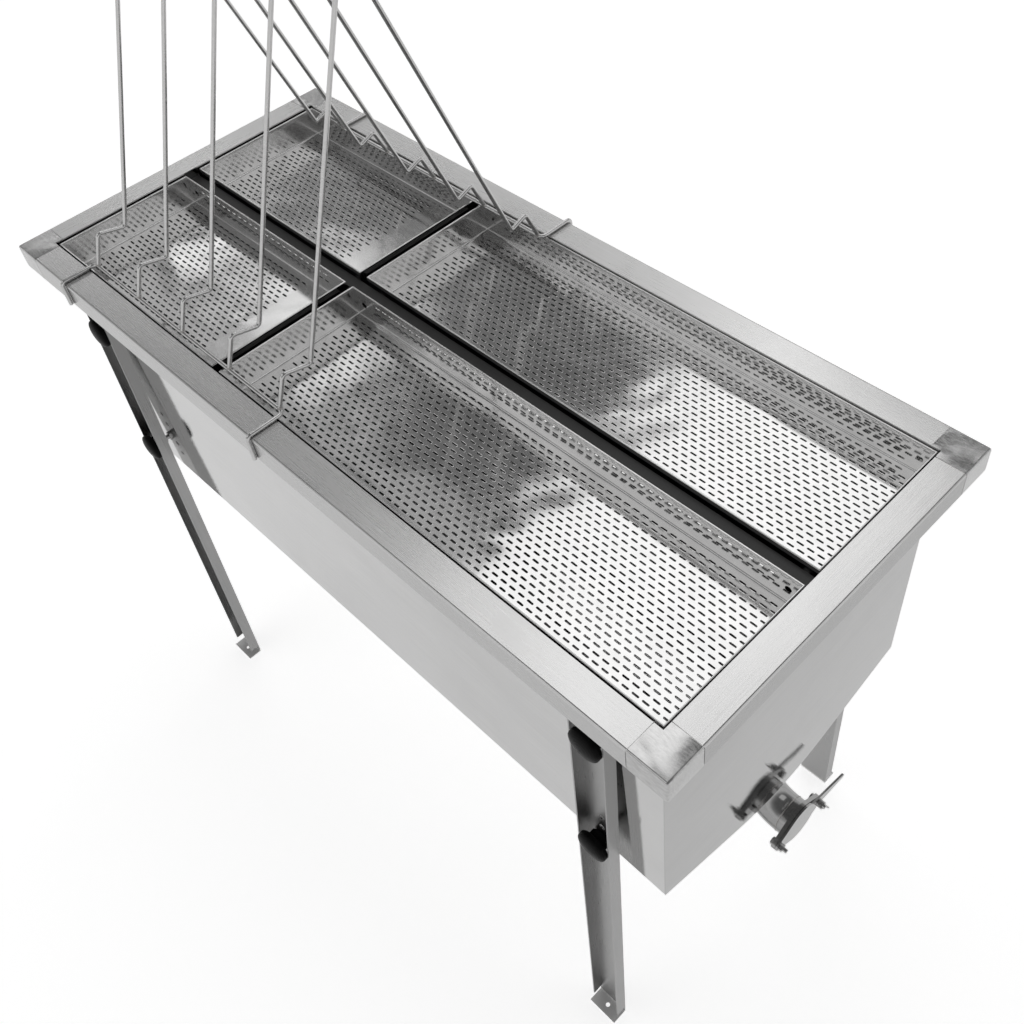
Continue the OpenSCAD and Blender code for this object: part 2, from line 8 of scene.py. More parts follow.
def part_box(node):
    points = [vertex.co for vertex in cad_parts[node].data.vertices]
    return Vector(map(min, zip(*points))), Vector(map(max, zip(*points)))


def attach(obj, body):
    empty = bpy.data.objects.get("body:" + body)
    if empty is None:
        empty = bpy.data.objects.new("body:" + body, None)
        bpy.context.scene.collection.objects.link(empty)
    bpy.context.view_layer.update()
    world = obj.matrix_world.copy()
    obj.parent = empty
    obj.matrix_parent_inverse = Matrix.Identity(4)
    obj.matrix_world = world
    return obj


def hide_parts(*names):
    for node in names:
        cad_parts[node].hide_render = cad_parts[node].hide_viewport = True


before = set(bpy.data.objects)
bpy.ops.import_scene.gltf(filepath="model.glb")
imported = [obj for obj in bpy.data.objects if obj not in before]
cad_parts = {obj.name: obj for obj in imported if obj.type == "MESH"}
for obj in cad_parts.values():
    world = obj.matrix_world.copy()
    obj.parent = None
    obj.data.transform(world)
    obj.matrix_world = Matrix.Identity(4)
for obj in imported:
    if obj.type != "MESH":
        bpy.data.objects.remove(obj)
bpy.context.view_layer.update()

scene = bpy.context.scene
MM = 0.001

# Driving sizes in millimetres, as in the part's source
RIM_L, RIM_W, RIM_H = 1250, 547, 940
BAND, SHEET = 40, 1.5
RIM_LIP, RIM_FOLD, RIM_ROUND = 35.0, 8.0, 3.0
OPEN_L, OPEN_W = RIM_L - 2 * BAND, RIM_W - 2 * BAND
CAP_REACH, CAP_GAP = 12.0, 0.4
TRAY_TOP, TRAY_D, TRAY_T = RIM_H - 3, 48, 1.2
TRAY_Z = TRAY_TOP - TRAY_D
TRAY_Y = {"near": (-230.0, -10.5), "far": (13.5, 233.0)}
TRAY_X = {"left": (-582.5, -182.5), "right": (-167.5, 582.5)}


# Materials

class Nodes:
    """Adds shader nodes to a tree with few words."""

    def __init__(self, tree):
        self.tree = tree
        tree.nodes.clear()

    def connect(self, value, socket):
        if hasattr(value, "is_output"):
            self.tree.links.new(value, socket)
        else:
            socket.default_value = value

    def add(self, kind, inputs=None, **props):
        n = self.tree.nodes.new(kind)
        for k, v in props.items():
            setattr(n, k, v)
        for k, v in (inputs or {}).items():
            self.connect(v, n.inputs[k])
        return n

    def scaled(self, vector, scale):
        return self.add("ShaderNodeMapping", {"Vector": vector, "Scale": scale}).outputs[0]

    def noise(self, vector, scale, detail=3.0, rough=0.5, distortion=0.0):
        return self.add("ShaderNodeTexNoise", {
            "Vector": vector, "Scale": scale, "Detail": detail,
            "Roughness": rough, "Distortion": distortion}).outputs["Fac"]

    def span(self, value, low, high, start=0.0, stop=1.0):
        return self.add("ShaderNodeMapRange", {
            "Value": value, "From Min": start, "From Max": stop,
            "To Min": low, "To Max": high}).outputs["Result"]

    def maths(self, operation, a, b):
        return self.add("ShaderNodeMath", {0: a, 1: b}, operation=operation).outputs[0]

    def bump(self, height, strength, distance, **more):
        return self.add("ShaderNodeBump", {
            "Height": height, "Strength": strength, "Distance": distance, **more}).outputs[0]

    def blend(self, factor, a, b):
        mix = self.add("ShaderNodeMix", {}, data_type="RGBA")
        for socket, v in ((mix.inputs[0], factor), (mix.inputs[6], a), (mix.inputs[7], b)):
            self.connect(v, socket)
        return mix.outputs[2]


def grey(v, warm=0.0):
    return (v * (1 + warm), v, v * (1 - warm), 1.0)


def new_material(name):
    m = bpy.data.materials.new(name)
    m.use_nodes = True
    return m, Nodes(m.node_tree)


FINE_GRAIN = 3.1
LINE_DEPTH = 0.0004
BRIGHT, BRIGHTEST = 1.07, 0.97


def steel(name, tone, rough, grain=(4, 300, 300), streak=0.12, scratch=0.06, wave=0.0,
          wave_scale=7.0, smudge=0.08, warm=0.004, low=None, stain=0.9):
    """Stainless sheet: brushed along the axis where grain is small, smudged, and slightly wavy.

    stain is how dark the darkest smudges are. low is (height, share of the tone, added roughness):
    under that height the tone is scaled by that share, painted shade below one and painted light above
    one, and the roughness is raised.
    """
    m, n = new_material(name)
    where = n.add("ShaderNodeTexCoord").outputs["Object"]
    lines = n.noise(n.scaled(where, grain), 1.0, 4.0, 0.6)
    fine = n.noise(n.scaled(where, [FINE_GRAIN * g for g in grain]), 1.0, 2.0, 0.7)
    hand = n.noise(where, 5.0, 5.0, 0.55, 0.6)
    dull = n.maths("ADD", n.span(lines, rough - streak / 2, rough + streak / 2, 0.3, 0.7),
                   n.span(hand, -smudge / 2, smudge / 2, 0.35, 0.65))
    shade = n.maths("ADD", n.span(lines, 0.0, 0.6, 0.3, 0.7), n.span(hand, 0.0, 0.4, 0.35, 0.65))
    colour = n.blend(shade, grey(tone * stain, warm), grey(min(tone * BRIGHT, BRIGHTEST), warm))
    # Under the given height the tone is scaled by the share: painted shade below one, painted light above
    # one.
    if low:
        height, share, added = low
        z = n.add("ShaderNodeSeparateXYZ", {0: where}).outputs["Z"]
        under = n.span(z, 1.0, 0.0, height - MM / 2, height + MM / 2)
        part = tone * share
        painted_band_colour = n.blend(shade, grey(part * 0.9, warm), grey(min(part * BRIGHT, BRIGHTEST), warm))
        colour = n.blend(under, colour, painted_band_colour)
        dull = n.maths("ADD", dull, n.maths("MULTIPLY", under, added))
    normal = n.bump(n.maths("ADD", lines, fine), scratch, LINE_DEPTH)
    if wave:
        swell = n.noise(where, wave_scale, 1.5, 0.4, 0.3)
        normal = n.bump(swell, 1.0, wave, Normal=normal)
    shader = n.add("ShaderNodeBsdfPrincipled", {
        "Base Color": colour, "Metallic": 1.0, "Roughness": dull, "Normal": normal})
    n.add("ShaderNodeOutputMaterial", {"Surface": shader.outputs[0]})
    return m


def plastic(name, tone, rough, bump_scale, bump, wear=0.0, shine=0.2):
    """Moulded plastic or rubber with a fine grain."""
    m, n = new_material(name)
    where = n.add("ShaderNodeTexCoord").outputs["Object"]
    grain = n.noise(where, bump_scale, 3.0, 0.6)
    hand = n.noise(where, 60.0, 3.0, 0.5)
    colour = n.blend(n.span(hand, 0.0, 1.0, 0.35, 0.7), grey(tone), grey(tone * 1.6 + wear))
    dull = n.maths("ADD", n.span(hand, rough - 0.06, rough + 0.08, 0.3, 0.7),
                   n.span(grain, -0.03, 0.03))
    shader = n.add("ShaderNodeBsdfPrincipled", {
        "Base Color": colour, "Roughness": dull, "Normal": n.bump(grain, bump, 0.0002),
        "Specular IOR Level": shine, "IOR": 1.18})
    n.add("ShaderNodeOutputMaterial", {"Surface": shader.outputs[0]})
    return m


ALONG_X, ALONG_Y, ALONG_Z = (9, 800, 800), (800, 9, 800), (800, 800, 9)
# Heights under which the rim lips are painted darker and the leg foot tabs painted lighter
LIP_TOP, TAB_TOP = (RIM_H - 2.5) * MM, 5 * MM
FINISH = {
    "tank_long": steel("tank_long", 0.61, 0.05, ALONG_X, streak=0.03, scratch=0.02,
                       wave=0.0016, wave_scale=4.0),
    # The end walls take a darker tone than the long walls of the same tank: painted shade.
    "tank_end_shaded": steel("tank_end_shaded", 0.44, 0.045, ALONG_Y, streak=0.03, scratch=0.02,
                      wave=0.0012, wave_scale=5.0),
    # The rims' lips under LIP_TOP get a darker tone: painted shade, stronger on the short rims.
    "rim_long": steel("rim_long", 0.62, 0.28, ALONG_X, streak=0.1, scratch=0.04,
                      wave=0.0005, low=(LIP_TOP, 0.86, 0.0)),
    "rim_short": steel("rim_short", 0.62, 0.28, ALONG_Y, streak=0.1, scratch=0.04,
                       wave=0.0005, low=(LIP_TOP, 0.68, 0.0)),
    "rim_cap": steel("rim_cap", 0.62, 0.2, (120, 400, 400), streak=0.1, scratch=0.04,
                     smudge=0.16, wave=0.004, wave_scale=18.0, stain=0.65),
    # The beams and shelf are near black: painted shade where they lie in the gaps under the trays.
    "support_shaded": steel("support_shaded", 0.05, 0.42, ALONG_X),
    "tray": steel("tray", 0.66, 0.13, (30, 60, 60), streak=0.05, scratch=0.01,
                  wave=0.0026, wave_scale=8.0, smudge=0.09),
    "wire": steel("wire", 0.60, 0.22, (200, 200, 200), streak=0.1, scratch=0.04),
    # Under TAB_TOP the foot tabs get 2.2 times the tone, which is painted light, and more roughness.
    "leg": steel("leg", 0.36, 0.32, ALONG_Z, streak=0.1, scratch=0.04, low=(TAB_TOP, 2.2, 0.25)),
    "fastener": steel("fastener", 0.5, 0.22, (400, 400, 400), streak=0.1),
    "gate": steel("gate", 0.36, 0.16, (60, 300, 300), streak=0.08, smudge=0.14,
                  wave=0.0014, wave_scale=14.0),
    "leaf": steel("leaf", 0.38, 0.16, (40, 300, 300), streak=0.06, smudge=0.12, wave=0.0006),
    "weld": steel("weld", 0.42, 0.34, (500, 500, 500), streak=0.2, scratch=0.2, warm=0.03),
    "knob": plastic("knob", 0.006, 0.3, 1400.0, 0.06, 0.002, 0.15),
    "rubber": plastic("rubber", 0.02, 0.62, 1800.0, 0.2),
}


# Mesh help

def make(name, verts, faces, material, body, angle=35.0, outward=False):
    """A piece from points in millimetres. outward welds the points and turns all faces outwards."""
    mesh = bpy.data.meshes.new(name)
    mesh.from_pydata([(x * MM, y * MM, z * MM) for x, y, z in verts], [], faces)
    mesh.validate()
    if outward:
        solid = bmesh.new()
        solid.from_mesh(mesh)
        bmesh.ops.remove_doubles(solid, verts=solid.verts, dist=1e-6)
        bmesh.ops.recalc_face_normals(solid, faces=solid.faces)
        solid.to_mesh(mesh)
        solid.free()
    mesh.shade_smooth()
    mesh.set_sharp_from_angle(angle=math.radians(angle))
    mesh.materials.append(material)
    obj = bpy.data.objects.new(name, mesh)
    scene.collection.objects.link(obj)
    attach(obj, body)
    return obj


def circle(centre, r, side, up, sides):
    turns = (2 * math.pi * k / sides for k in range(sides))
    return [centre + r * (math.cos(q) * side + math.sin(q) * up) for q in turns]


class Build:
    """Collects points and faces of one piece."""

    def __init__(self):
        self.verts, self.faces = [], []

    def add(self, points):
        start = len(self.verts)
        self.verts += [tuple(p) for p in points]
        return list(range(start, len(self.verts)))

    def face(self, *points):
        self.faces.append(self.add(points))

    def strip(self, a, b, closed=True):
        n = len(a)
        for i in range(n if closed else n - 1):
            j = (i + 1) % n
            self.faces.append([a[i], a[j], b[j], b[i]])

    def tube(self, rings, caps=True):
        for a, b in zip(rings, rings[1:]):
            self.strip(a, b)
        if caps:
            self.faces.append(rings[0][::-1])
            self.faces.append(rings[-1])

    def sweep(self, path, radius, sides=16, caps=True, flare=None):
        """A round rod along a path; the frame is carried along without twist."""
        path = [Vector(p) for p in path]
        rings, side = [], None
        for i, p in enumerate(path):
            t = Vector((0, 0, 0))
            if i + 1 < len(path):
                t += (path[i + 1] - p).normalized()
            if i:
                t += (p - path[i - 1]).normalized()
            t.normalize()
            if side is None:
                side = t.orthogonal().normalized()
            side = (side - side.dot(t) * t).normalized()
            r = radius * (flare(i / (len(path) - 1)) if flare else 1.0)
            rings.append(self.add(circle(p, r, side, t.cross(side), sides)))
        self.tube(rings, caps)

    def revolve(self, profile, centre, axis, sides):
        """A turned shape; profile is a list of (distance along the axis, radius)."""
        axis = Vector(axis).normalized()
        side = axis.orthogonal().normalized()
        up = axis.cross(side)
        self.tube([self.add(circle(Vector(centre) + h * axis, r, side, up, sides))
                   for h, r in profile])


def bend(a, b, c, r, n=8):
    """Points that round off the corner b of the path a, b, c."""
    a, b, c = Vector(a), Vector(b), Vector(c)
    u, v = (a - b).normalized(), (c - b).normalized()
    half = math.acos(max(-1, min(1, u.dot(v)))) / 2
    centre = b + (u + v).normalized() * (r / math.sin(half))
    p, q = b + u * r / math.tan(half) - centre, b + v * r / math.tan(half) - centre
    turn = math.pi - 2 * half
    return [centre + (p * math.sin(turn * (n - k) / n) + q * math.sin(turn * k / n)) / math.sin(turn)
            for k in range(n + 1)]


# Trays: slotted sheet, folded at the bottom, hemmed at the top

PITCH, ROW = 14.0, 8.55
SLOT_L, SLOT_W, SLOT_STEPS = 9.5, 2.4, 4
LIP_W, LIP_H = 0.35, 0.06
TRAY_BEND, INSET, HEM = 3.0, 6.0, 6.0
WALL_END = 13.5
WALL_PLAIN = 2
HOLE_R, HOLE_IN, HOLE_DOWN = 4.5, 19, 24
# Slot rows in a tray's far wall: depth of the lowest under the rim, half the row height, rows
WALL_ROWS = {"near": (28, 6.0, 2), "far": (40.6, ROW / 2, 4)}
BOTTOM_ROWS, BOTTOM_IN = 23, 18.8
# Slots in a bottom row: place of the last one, and how many
BOTTOM_SLOTS = {"right": (569.2, 52), "left": (-281.0, 21)}


def slot_loop(half, r):
    """Outline of a slot from its right end, turning left, with a point in the middle of each side."""
    loop = []
    for side in (1, -1):
        for k in range(SLOT_STEPS + 1):
            q = math.pi * (k / SLOT_STEPS - side / 2)
            loop.append((side * half + r * math.cos(q), r * math.sin(q)))
        loop.append((0.0, side * r))
    return loop


HOLE = slot_loop((SLOT_L - SLOT_W) / 2, SLOT_W / 2)
LIP = slot_loop((SLOT_L - SLOT_W) / 2, SLOT_W / 2 + LIP_W)


def cell(b, at, cu, cv, half_v, t):
    """One cell of slotted sheet. at(u, v, depth) places a point; depth 0 is the side that shows."""
    hu = PITCH / 2
    outer = [(cu + hu, cv - half_v), (cu + hu, cv + half_v), (cu, cv + half_v),
             (cu - hu, cv + half_v), (cu - hu, cv - half_v), (cu, cv - half_v)]
    top = b.add([at(u, v, 0.0) for u, v in outer])
    low = b.add([at(u, v, t) for u, v in outer])
    lip, bead = (b.add([at(cu + u, cv + v, 0.0) for u, v in LIP]) for _ in range(2))
    edge = b.add([at(cu + u, cv + v, -LIP_H) for u, v in HOLE])
    back = b.add([at(cu + u, cv + v, t) for u, v in HOLE])
    n = SLOT_STEPS
    right, left = list(range(n + 1)), list(range(n + 2, 2 * n + 3))
    mid_up, mid_down = n + 1, 2 * n + 3

    def plate(o, s, flip):
        polys = [
            [o[0], o[1]] + [s[k] for k in reversed(right)],
            [o[1], o[2], s[mid_up], s[right[-1]]],
            [o[2], o[3], s[left[0]], s[mid_up]],
            [o[3], o[4]] + [s[k] for k in reversed(left)],
            [o[4], o[5], s[mid_down], s[left[-1]]],
            [o[5], o[0], s[right[0]], s[mid_down]],
        ]
        for p in polys:
            b.faces.append(p[::-1] if flip else p)

    plate(top, lip, False)
    plate(low, back, True)
    b.strip(bead, edge)
    b.strip(edge, back)


def plain(b, at, u0, u1, v0, v1, t):
    """A plain rectangle of sheet, cut into short lengths as long as a cell."""
    if u1 - u0 < 0.01 or v1 - v0 < 0.01:
        return
    n = max(1, round((u1 - u0) / PITCH))
    for k in range(n):
        a, c = u0 + (u1 - u0) * k / n, u0 + (u1 - u0) * (k + 1) / n
        b.face(at(a, v0, 0), at(c, v0, 0), at(c, v1, 0), at(a, v1, 0))
        b.face(at(a, v1, t), at(c, v1, t), at(c, v0, t), at(a, v0, t))


def round_hole(b, at, u0, u1, v0, v1, cu, cv, r, t):
    """A rectangle of sheet with one round hole."""
    corners = [(u0, v0), (u1, v0), (u1, v1), (u0, v1)]
    angles = [2 * math.pi * k / 24 for k in range(24)]
    angles += [math.atan2(v - cv, u - cu) % (2 * math.pi) for u, v in corners]
    angles = sorted(set(round(q, 5) for q in angles))

    def reach(centre, low, high, slope):
        if abs(slope) < 1e-9:
            return math.inf
        return ((high if slope > 0 else low) - centre) / slope

    rim, hole = [], []
    for q in angles:
        c, s = math.cos(q), math.sin(q)
        far = min(reach(cu, u0, u1, c), reach(cv, v0, v1, s))
        rim.append((cu + far * c, cv + far * s))
        hole.append((cu + r * c, cv + r * s))
    front, front_hole = (b.add([at(u, v, 0) for u, v in loop]) for loop in (rim, hole))
    back, back_hole = (b.add([at(u, v, t) for u, v in loop]) for loop in (rim, hole))
    b.strip(front, front_hole)
    b.strip(back_hole, back)
    b.strip(front_hole, back_hole)


def ring(b, x0, x1, y0, y1, profile):
    """Sweeps an open profile of (inset, height) round a rectangle with mitred corners."""
    loops = [b.add([(x0 + d, y0 + d, z), (x1 - d, y0 + d, z), (x1 - d, y1 - d, z), (x0 + d, y1 - d, z)])
             for d, z in profile]
    for p, q in zip(loops, loops[1:]):
        b.strip(p, q)


def arc(cx, cz, r, start, stop, n=5):
    turns = (math.radians(start + (stop - start) * k / n) for k in range(n + 1))
    return [(cx + r * math.cos(q), cz + r * math.sin(q)) for q in turns]


def long_wall(b, side, end, y, face_in):
    """A tray's wall along X. Only the far one has slots."""
    (x0, x1), t = TRAY_X[end], TRAY_T

    def at(u, v, depth):
        return (u if face_in < 0 else x0 + x1 - u, y + face_in * (t - depth), v)

    drop, half, levels = WALL_ROWS[side]
    rows = [RIM_H - drop + 2 * half * k for k in range(levels)]
    v0, v1 = rows[0] - half, rows[-1] + half
    from_right = (end == "right") != (face_in > 0)
    first, step = (x1 - WALL_END, -PITCH) if from_right else (x0 + WALL_END, PITCH)
    count = int((x1 - x0 - 2 * WALL_END) // PITCH) + 1
    us = sorted(first + step * k for k in range(count))
    left, right = us[0] - PITCH / 2, us[-1] + PITCH / 2
    a, c = us[WALL_PLAIN] - PITCH / 2, us[-WALL_PLAIN - 1] + PITCH / 2
    if face_in > 0:
        plain(b, at, a, c, v0, v1, t)
    else:
        for k, v in enumerate(rows):
            shift = PITCH / 2 if side == "far" and k % 2 else 0
            for u in us[WALL_PLAIN:-WALL_PLAIN - (1 if shift else 0)]:
                cell(b, at, u + shift, v, half, t)
            if shift:
                plain(b, at, a, a + shift, v - half, v + half, t)
                plain(b, at, c - shift, c, v - half, v + half, t)
    round_hole(b, at, left, a, v0, v1, x0 + HOLE_IN, TRAY_TOP - HOLE_DOWN, HOLE_R, t)
    round_hole(b, at, c, right, v0, v1, x1 - HOLE_IN, TRAY_TOP - HOLE_DOWN, HOLE_R, t)
    plain(b, at, x0 + t, left, v0, v1, t)
    plain(b, at, right, x1 - t, v0, v1, t)
    plain(b, at, x0 + t, x1 - t, TRAY_Z + TRAY_BEND, v0, t)
    plain(b, at, x0 + t, x1 - t, v1, TRAY_TOP - HEM - 1, t)


def short_wall(b, side, x, face_in):
    (y0, y1), t = TRAY_Y[side], TRAY_T

    def at(u, v, depth):
        return (x + face_in * (t - depth), u if face_in > 0 else y0 + y1 - u, v)

    plain(b, at, y0, y1, TRAY_Z + TRAY_BEND, TRAY_TOP - HEM - 1, t)


def bottom(b, side, end):
    """The slotted bottom, with every other row half a pitch further on."""
    (x0, x1), (y0, y1), t = TRAY_X[end], TRAY_Y[side], TRAY_T

    def at(u, v, depth):
        return (u, v, TRAY_Z + t - depth)

    span = (BOTTOM_ROWS - 1) * ROW
    start = y0 + BOTTOM_IN if side == "near" else y1 - BOTTOM_IN - span
    ys = [start + ROW * k for k in range(BOTTOM_ROWS)]
    last, count = BOTTOM_SLOTS[end]
    xa, xb = last - PITCH * count, last + PITCH / 2
    for r, y in enumerate(ys):
        shift = -PITCH / 2 if r % 2 else 0
        for k in range(count):
            cell(b, at, last + shift - PITCH * k, y, ROW / 2, t)
        if shift:
            plain(b, at, xb - PITCH / 2, xb, y - ROW / 2, y + ROW / 2, t)
        else:
            plain(b, at, xa, xa + PITCH / 2, y - ROW / 2, y + ROW / 2, t)
    ya, yb = ys[0] - ROW / 2, ys[-1] + ROW / 2
    plain(b, at, x0 + INSET, xa, ya, yb, t)
    plain(b, at, xb, x1 - INSET, ya, yb, t)
    plain(b, at, x0 + INSET, x1 - INSET, y0 + INSET, ya, t)
    plain(b, at, x0 + INSET, x1 - INSET, yb, y1 - INSET, t)


def tray(side, end):
    (x0, x1), (y0, y1) = TRAY_X[end], TRAY_Y[side]
    t, z0, top, r = TRAY_T, TRAY_Z, TRAY_TOP, TRAY_BEND
    b = Build()
    # The fold between the bottom and the walls, outside and inside
    ring(b, x0, x1, y0, y1, [(INSET, z0)] + arc(r, z0 + r, r, -90, -180))
    ring(b, x0, x1, y0, y1, arc(r, z0 + r, r - t, -180, -90) + [(INSET, z0 + t)])
    # The hem, folded down on the inside
    ring(b, x0, x1, y0, y1, [(0, top - HEM - 1)] + arc(t, top - t, t, 180, 0, 8)
         + [(2 * t, top - HEM), (t + 0.3, top - HEM - 0.5), (t, top - HEM - 1)])
    for y, face_in in ((y0, 1), (y1, -1)):
        long_wall(b, side, end, y, face_in)
    for x, face_in in ((x0, 1), (x1, -1)):
        short_wall(b, side, x, face_in)
    bottom(b, side, end)
    name = f"tray_{side}_{end}"
    obj = make("slotted_" + name, b.verts, b.faces, FINISH["tray"], name, 30)
    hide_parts(name, name.replace("tray", "sieve"))


for side in TRAY_Y:
    for end in TRAY_X:
        tray(side, end)


# Rack: two side wires hooked over the rim, five arches welded to them

WIRE_R, CLEAR = 3.0, 0.3
ROD_R = WIRE_R - 0.02
WIRE_Z = RIM_H + WIRE_R + CLEAR
RAIL_Y = OPEN_W / 2 - 12
RAIL_PAST, RAIL_BEND = 8, 8
HOOK_Y, HOOK_Z = RIM_W / 2 + WIRE_R + CLEAR, RIM_H - 34
HOOK_R = RIM_ROUND + WIRE_R + CLEAR
ARCH_X = [-261 + 109 * k for k in (-2, -1, 0, 1, 2)]
STUB_Y, STUB_Z = RAIL_Y - 18.5, RIM_H + 48
FOOT_Y, FOOT_Z = RAIL_Y - 52, RIM_H + 38
ARCH_OFF, ARCH_SLANT = 6, math.radians(20.8)
APEX_Z = FOOT_Z + FOOT_Y / math.tan(ARCH_SLANT)
NEAR_BEND, FAR_BEND, APEX_BEND = 6, 5, 20
WELD_UP, WELD_R, WELD_FLAT = 2.6, 3.7, 0.7
ARCH_START = 2.2


def blob(b, centre, r, squash, seed):
    """A small uneven weld bead."""
    ids = []
    rows, cols = 7, 12
    for i in range(1, rows):
        lat = math.pi * i / rows - math.pi / 2
        for k in range(cols):
            lon = 2 * math.pi * k / cols
            d = Vector((math.cos(lat) * math.cos(lon), math.cos(lat) * math.sin(lon),
                        math.sin(lat) * squash))
            uneven = noise.noise(d * 2.1 + Vector((seed * 3.7, 0, 0)))
            ids.append(Vector(centre) + d * r * (1 + 0.16 * uneven))
    ids = b.add(ids)
    b.tube([ids[i * cols:(i + 1) * cols] for i in range(rows - 1)])


def side_wire(s, side):
    b = Build()
    left, right = ([(x, s * HOOK_Y, HOOK_Z), (x, s * HOOK_Y, WIRE_Z), (x, s * RAIL_Y, WIRE_Z)]
                   for x in (ARCH_X[0] - RAIL_PAST, ARCH_X[-1] + RAIL_PAST))
    path = [left[0]] + bend(*left, HOOK_R) + bend(left[1], left[2], right[2], RAIL_BEND)
    path += bend(left[2], right[2], right[1], RAIL_BEND) + bend(*right[::-1], HOOK_R) + [right[0]]
    b.sweep(path, ROD_R)
    wire = make(f"side_wire_{side}", b.verts, b.faces, FINISH["wire"], "rack", 50)
    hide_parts(f"rack_rail_{side}")


def rack_welds(s, side):
    b = Build()
    for i, x in enumerate(ARCH_X):
        base = Vector((x, s * RAIL_Y, WIRE_Z))
        rise = (Vector((x, s * STUB_Y, STUB_Z)) - base).normalized()
        blob(b, base + rise * WELD_UP, WELD_R, WELD_FLAT, i + 10 * s)
    make(f"rack_welds_{side}", b.verts, b.faces, FINISH["weld"], "rack", 60)


def arch_wire(i, x):
    b = Build()
    near, far = ([Vector(p) for p in ((x, s * RAIL_Y, WIRE_Z), (x, s * STUB_Y, STUB_Z),
                                      (x, ARCH_OFF + s * FOOT_Y, FOOT_Z))] for s in (-1, 1))
    apex = (x, ARCH_OFF, APEX_Z)
    start, stop = (p[0] + ARCH_START * (p[1] - p[0]).normalized() for p in (near, far))
    path = [start] + bend(*near, NEAR_BEND) + bend(near[1], near[2], apex, NEAR_BEND)
    path += bend(near[2], apex, far[2], APEX_BEND, 14)
    path += bend(apex, far[2], far[1], FAR_BEND) + bend(*far[::-1], FAR_BEND) + [stop]
    b.sweep(path, ROD_R)
    wire = make(f"arch_wire_{i + 1}", b.verts, b.faces, FINISH["wire"], "rack", 50)
    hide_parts(f"rack_arch_{i + 1}")


for s, side in ((-1, "near"), (1, "far")):
    side_wire(s, side)
    rack_welds(s, side)
for i, x in enumerate(ARCH_X):
    arch_wire(i, x)


# Corner caps of the rim

def corner_cap(sx, sy):
    """A pressed L-shaped cap: flat top, rounded outer edges and corner, lips and folds below."""
    b = Build()
    r, t, top, under = RIM_ROUND, SHEET, RIM_H, RIM_H - RIM_LIP
    x_in, y_in, x_out, y_out = OPEN_L / 2, OPEN_W / 2, RIM_L / 2, RIM_W / 2
    x_end, y_end = x_in - CAP_REACH + CAP_GAP, y_in - CAP_REACH + CAP_GAP
    steps = 6
    quarter = [math.pi / 2 * k / steps for k in range(steps + 1)]
    outside = [(r * (1 - math.sin(q)), top - r * (1 - math.cos(q))) for q in quarter]
    inside = [(r - (r - t) * math.sin(q), top - r + (r - t) * math.cos(q)) for q in quarter]
    fold = [(0, under), (RIM_FOLD, under), (RIM_FOLD, under + t), (t, under + t)]
    loops = []
    for d, z in outside + fold + inside[::-1]:
        m, c = max(r, d), max(r - d, 0.0)
        row = [(x_end, y_out - d)]
        row += [(x_out - m + c * math.sin(q), y_out - m + c * math.cos(q)) for q in quarter]
        row.append((x_out - d, y_end))
        loops.append(b.add([(sx * x, sy * y, z) for x, y in row]))
    for p, q in zip(loops, loops[1:]):
        b.strip(p, q, closed=False)
    inner = [(x_in, y_end), (x_in, y_in), (x_end, y_in)]
    upper, lower = (b.add([(sx * x, sy * y, z) for x, y in inner]) for z in (top, top - t))
    b.strip(upper, lower, closed=False)
    for loop, edge in ((loops[0], upper), (loops[-1], lower)):
        b.faces.append([loop[0], loop[1], loop[-1]] + edge)
    for k, j in ((0, 2), (-1, 0)):
        b.faces.append([loop[k] for loop in loops] + [lower[j], upper[j]])
    name = f"corner_cap_{'far' if sy > 0 else 'near'}_{'right' if sx > 0 else 'left'}"
    cap = make("pressed_" + name, b.verts, b.faces, FINISH["rim_cap"], "tank", 50,
               outward=True)
    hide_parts(name)


for sx in (-1, 1):
    for sy in (-1, 1):
        corner_cap(sx, sy)


# Nodes of the frame that stay, with their materials and small bevels

def dress(nodes, material, bevel=0.0):
    for node in nodes:
        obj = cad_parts[node]
        obj.data.materials.clear()
        obj.data.materials.append(FINISH[material])
        if bevel:
            mod = obj.modifiers.new("edge", "BEVEL")
            mod.width = bevel * MM
            mod.segments = 2
            mod.limit_method = "ANGLE"
            mod.angle_limit = math.radians(40)


def named(*starts):
    return [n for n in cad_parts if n.startswith(starts)]


dress(["trough"], "tank_long", 0.8)
dress(["end_wall_left", "end_wall_right"], "tank_end_shaded")
dress(["rim_rail_near", "rim_rail_far"], "rim_long", 0.7)
dress(["rim_rail_left", "rim_rail_right"], "rim_short", 0.7)
dress(named("shelf", "centre_beam", "cross_beam"), "support_shaded")
dress([n for n in named("leg_") if n != "leg_studs"], "leg", 0.6)
dress(["leg_studs", "lock_nuts", "pivot_bolt", "pivot_nut", "clamp_stud", "wing_nut"], "fastener")
dress(named("knob"), "knob")
dress(["drain_collar", "drain_elbow", "gate_stub"], "gate")
dress(["gate_flange"], "gate", 0.8)
dress(["gate_leaf"], "leaf", 0.8)
dress(["gate_seal"], "rubber")


# Weld on the pipe, and threads on the gate's two bolts

BEAD_R, BEAD_SUNK, BEAD_RIPPLES = 0.9, 0.3, 40
NUT_T, HUB_H = 5.0, 8.0
THREAD_R, THREAD_RISE, THREAD_PITCH = 2.95, 0.28, 1.0


def ends(node):
    low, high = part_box(node)
    return [v / MM for v in low], [v / MM for v in high]


def pipe_weld():
    """A rippled bead round the pipe, which lies along X."""
    low, high = ends("gate_stub")
    z, radius = (low[2] + high[2]) / 2, (high[2] - low[2]) / 2 - BEAD_SUNK
    b = Build()
    n = 120
    path = [(low[0], radius * math.cos(q), z + radius * math.sin(q))
            for q in (2 * math.pi * k / n for k in range(n + 1))]
    b.sweep(path, BEAD_R, 8, False, lambda f: 1 + 0.12 * math.sin(f * 2 * math.pi * BEAD_RIPPLES))
    make("pipe_weld", b.verts, b.faces, FINISH["weld"], "tank", 60)


